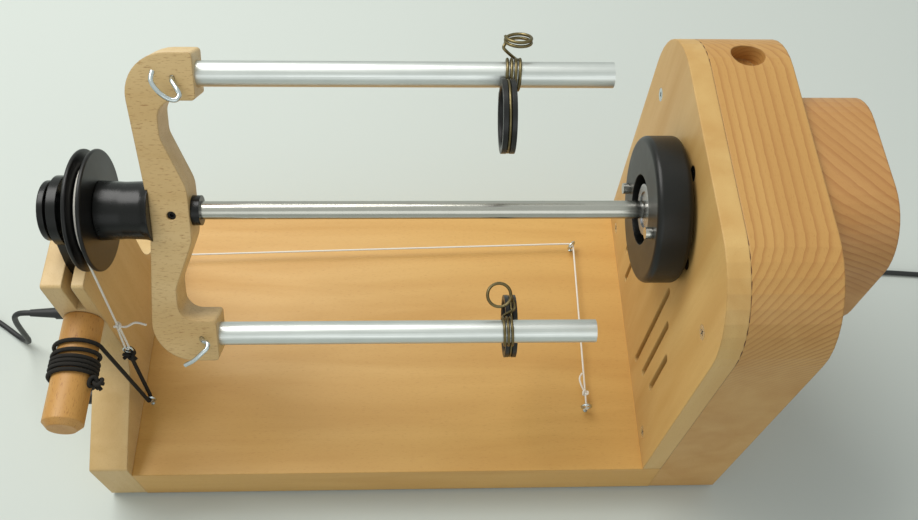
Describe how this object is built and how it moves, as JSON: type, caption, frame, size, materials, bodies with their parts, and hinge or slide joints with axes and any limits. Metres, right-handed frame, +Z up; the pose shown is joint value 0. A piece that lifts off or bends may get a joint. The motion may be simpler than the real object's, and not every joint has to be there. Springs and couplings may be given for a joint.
{
  "type": "electric yarn spinner",
  "caption": "Tabletop electric yarn spinner: leaning wooden flyer on a wooden base, line brake with tension peg, disc-driven bobbin shaft and motor housing.",
  "frame": {"origin": "middle of the footprint of the machine without its leads, on the surface it stands on", "axes": "+X along the spindle from the orifice to the motor, +Y away from the tension peg's side, +Z up"},
  "size_m": [0.808, 0.1906, 0.2544],
  "materials": {
    "wood_base": "oiled",
    "wood_pale": "oiled",
    "wood_plate": "oiled",
    "wood_housing": "oiled",
    "wood_cover": "oiled",
    "wood_arm": "oiled",
    "wood_peg": "oiled",
    "zinc": "zinc plated",
    "rubber": "matte",
    "steel": "turned",
    "polished_steel": "polished",
    "dark_steel": "blackened",
    "motor_case": "satin",
    "circuit_board": "solder mask",
    "socket_plastic": "moulded",
    "rocker_plastic": "moulded",
    "knob_plastic": "moulded",
    "black_plastic": "satin",
    "black_disc": "satin",
    "black_pulley": "satin",
    "bearing_plastic": "smooth",
    "bearing_steel": "turned",
    "elastic": "woven",
    "cotton": "twisted",
    "aluminium": "satin",
    "antique_brass": "aged",
    "grip_plastic": "satin",
    "plug_plastic": "moulded",
    "lead": "jacketed",
    "adapter_plastic": "moulded"
  },
  "bodies": {
    "frame": {"base_board": "wood_base", "front_upright": "wood_pale", "face_plate": "wood_plate", "motor_housing": "wood_housing", "housing_back": "wood_housing", "rear_cover": "wood_cover", "plate_screws": "zinc", "base_screws": "zinc", "cover_screws": "zinc", "rubber_feet": "rubber", "motor_mount": "steel", "motor_body": "motor_case", "motor_screws": "dark_steel", "control_board": "circuit_board", "power_socket": "socket_plastic", "pedal_socket": "socket_plastic", "speed_pot": "motor_case", "switch_body": "socket_plastic", "bearing_plate": "black_plastic", "orifice_bearing": "bearing_plastic", "eye_screws": "zinc", "elastic_span": "elastic", "line_clip": "elastic", "brake_line": "cotton", "power_plug": "plug_plastic", "power_lead": "lead", "power_coil": "lead", "power_coil_tie": "plug_plastic", "power_adapter": "adapter_plastic", "pedal_plug": "plug_plastic", "pedal_lead": "lead", "pedal_coil": "lead", "pedal_coil_tie": "plug_plastic", "pedal_far_plug": "plug_plastic"},
    "flyer": {"orifice_hub": "black_plastic", "orifice_cap": "black_plastic", "brake_pulley": "black_pulley", "flyer_arm": "wood_arm", "flyer_bush": "black_plastic", "flyer_shaft": "polished_steel", "arm_set_screw": "dark_steel", "upper_tube": "aluminium", "lower_tube": "aluminium", "upper_hook": "zinc", "lower_hook": "zinc"},
    "drive": {"drive_disc": "black_disc", "drive_pins": "polished_steel", "drive_collar": "steel", "motor_shaft": "polished_steel", "end_bearing": "bearing_steel"},
    "upper_guide": {"upper_guide_wire": "antique_brass", "upper_guide_grip": "grip_plastic"},
    "lower_guide": {"lower_guide_wire": "antique_brass", "lower_guide_grip": "grip_plastic"},
    "peg": {"tension_peg": "wood_peg", "elastic_winding": "elastic"},
    "knob": {"speed_knob": "knob_plastic"},
    "rocker": {"switch_rocker": "rocker_plastic"}
  },
  "joints": [
    {"name": "flyer_spin", "type": "hinge", "parent": "frame", "child": "flyer", "pos_m": [-0.19005, 0.00125, 0.184], "axis": [1, 0, 0], "continuous": true},
    {"name": "drive_spin", "type": "hinge", "parent": "frame", "child": "drive", "pos_m": [0.11665, 0.00125, 0.184], "axis": [1, 0, 0], "continuous": true},
    {"name": "upper_guide_slide", "type": "slide", "parent": "flyer", "child": "upper_guide", "axis": [1, 0, 0], "range_m": [-0.145, 0.044]},
    {"name": "lower_guide_slide", "type": "slide", "parent": "flyer", "child": "lower_guide", "axis": [1, 0, 0], "range_m": [-0.142, 0.043]},
    {"name": "peg_turn", "type": "hinge", "parent": "frame", "child": "peg", "pos_m": [-0.19235, -0.06275, 0.126], "axis": [0, -1, 0], "range_deg": [-180, 180], "deforming": ["elastic_span"]},
    {"name": "speed_knob_turn", "type": "hinge", "parent": "frame", "child": "knob", "pos_m": [-0.20835, -0.04275, 0.041], "axis": [-1, 0, 0], "range_deg": [0, 270]},
    {"name": "switch_tilt", "type": "hinge", "parent": "frame", "child": "rocker", "pos_m": [-0.20035, 0.04525, 0.041], "axis": [0, -1, 0], "range_deg": [0, 16]}
  ]
}
